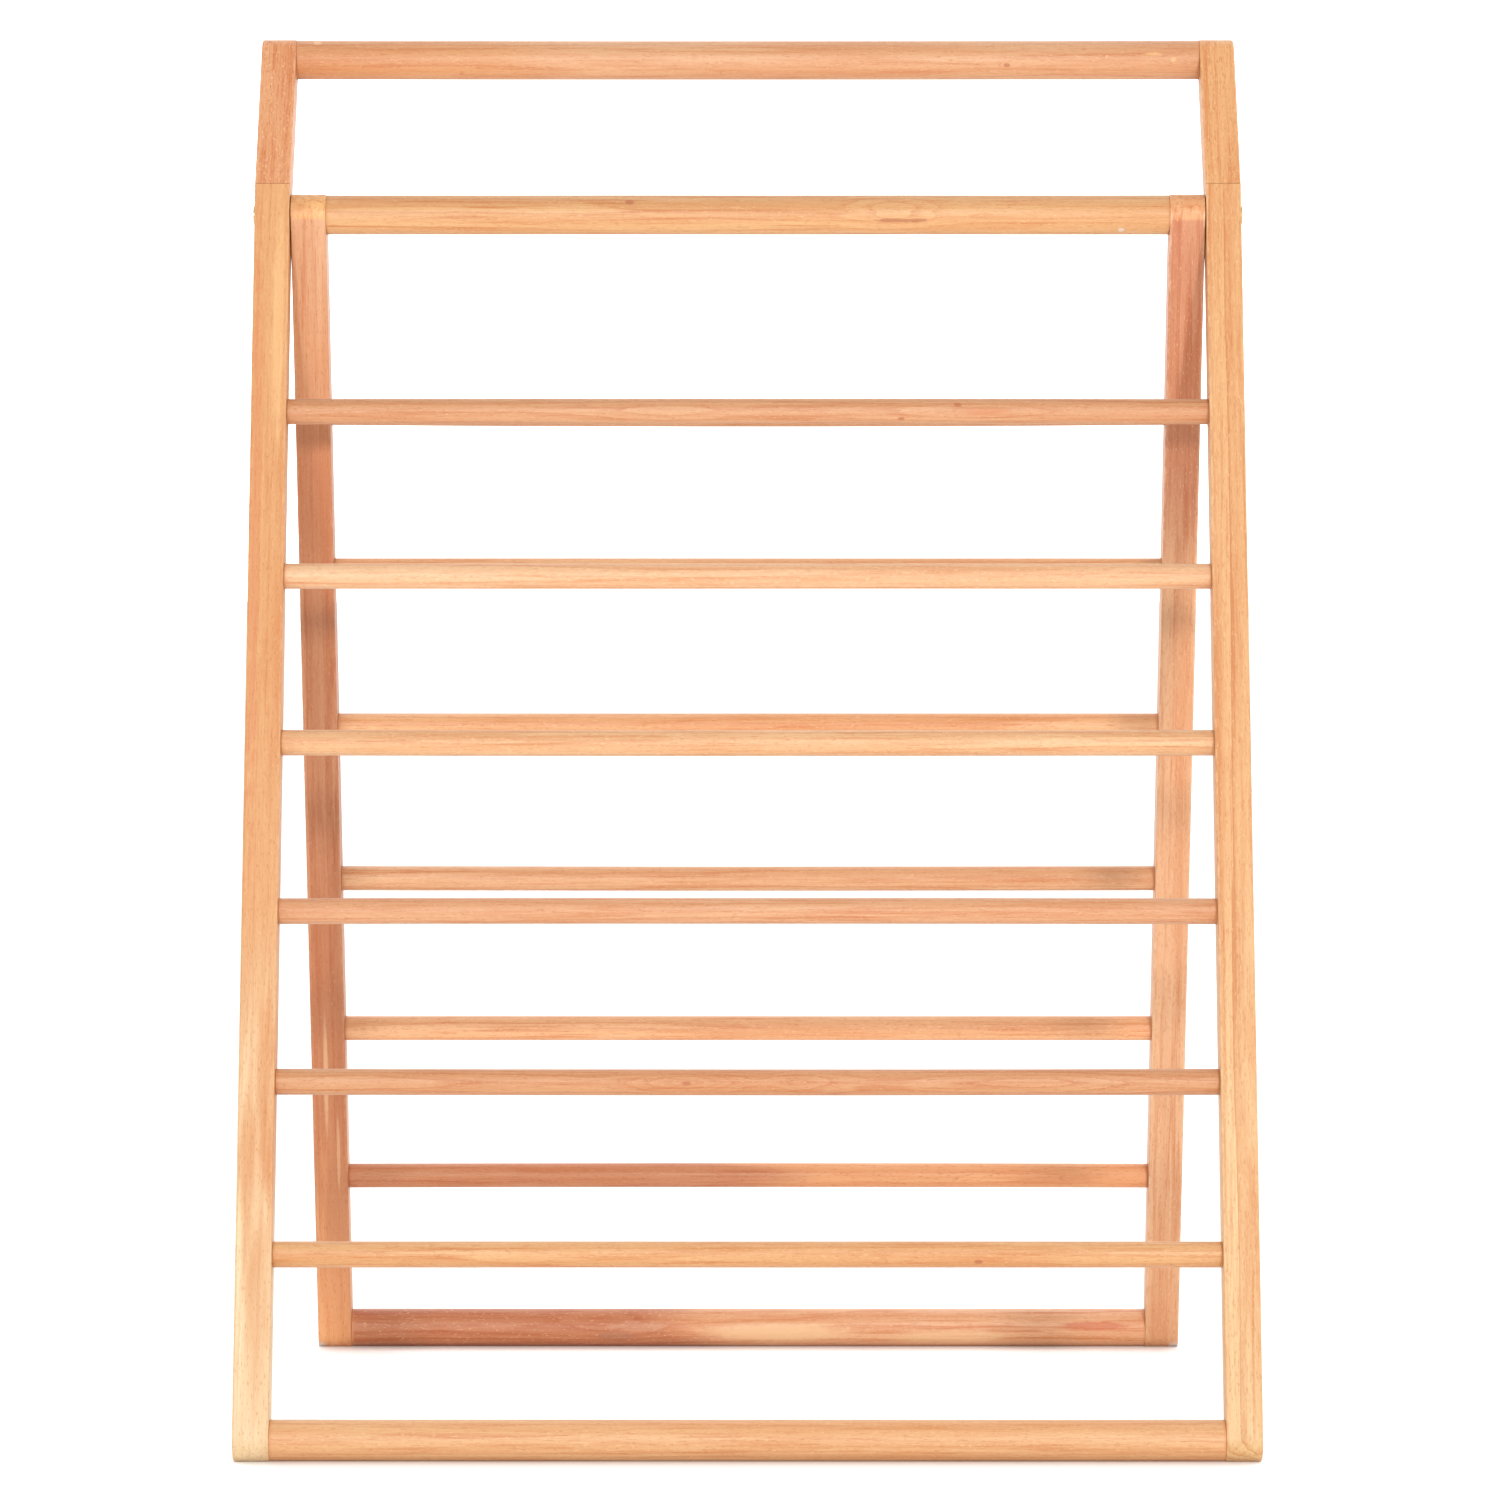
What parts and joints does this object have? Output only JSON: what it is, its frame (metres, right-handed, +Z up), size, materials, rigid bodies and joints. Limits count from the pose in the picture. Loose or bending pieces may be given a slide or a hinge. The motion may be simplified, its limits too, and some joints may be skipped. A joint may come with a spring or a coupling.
{
  "type": "clothes drying rack",
  "caption": "Free-standing wooden A-frame laundry rack: two hinged frames of round rungs that fold together, with a carrying handle bar above the hinge.",
  "frame": {"origin": "on the floor, midway between the four feet, straight below the hinge axis", "axes": "+Z up; +X to the right along the rungs and the hinge axis; +Y from the front frame towards the rear frame"},
  "size_m": [0.703, 0.562, 0.9761],
  "materials": {
    "front_stile_teak": "planed and oiled teak, open straight grain, satin, softly eased edges",
    "rear_stile_teak": "planed and oiled teak, open straight grain, satin, softly eased edges",
    "handle_teak": "planed and oiled teak, open straight grain, satin, softly eased edges",
    "rail_teak": "turned and oiled teak, satin, grain along the bar",
    "rung_teak": "turned and oiled teak, satin, grain along the bar",
    "dowel_beech": "plain beech dowel, glued, hidden",
    "bolt_brass": "pale brass-coloured plating, satin",
    "pin_steel": "zinc plated, dull",
    "washer_nylon": "dark nylon"
  },
  "bodies": {
    "front_frame": {"front_stile_left": "front_stile_teak", "front_stile_right": "front_stile_teak", "handle_arm_left": "handle_teak", "handle_arm_right": "handle_teak", "handle_bar": "handle_teak", "front_bottom_rail": "rail_teak", "front_rung_1": "rung_teak", "front_rung_2": "rung_teak", "front_rung_3": "rung_teak", "front_rung_4": "rung_teak", "front_rung_5": "rung_teak", "front_rung_6": "rung_teak", "seam_dowels_left": "dowel_beech", "seam_dowels_right": "dowel_beech", "stop_pin_left": "pin_steel", "stop_pin_right": "pin_steel"},
    "rear_frame": {"rear_stile_left": "rear_stile_teak", "rear_stile_right": "rear_stile_teak", "rear_top_rail": "rail_teak", "rear_bottom_rail": "rail_teak", "rear_rung_1": "rung_teak", "rear_rung_2": "rung_teak", "rear_rung_3": "rung_teak", "rear_rung_4": "rung_teak", "rear_rung_5": "rung_teak", "rear_rung_6": "rung_teak", "pivot_bolt_left": "bolt_brass", "pivot_bolt_right": "bolt_brass", "pivot_washer_left": "washer_nylon", "pivot_washer_right": "washer_nylon", "threaded_insert_left": "bolt_brass", "threaded_insert_right": "bolt_brass"}
  },
  "joints": [
    {"name": "rear_frame_fold", "type": "hinge", "parent": "front_frame", "child": "rear_frame", "pos_m": [0, 0, 0.84911], "axis": [-1, 0, 0], "range_deg": [0, 25.8]}
  ]
}
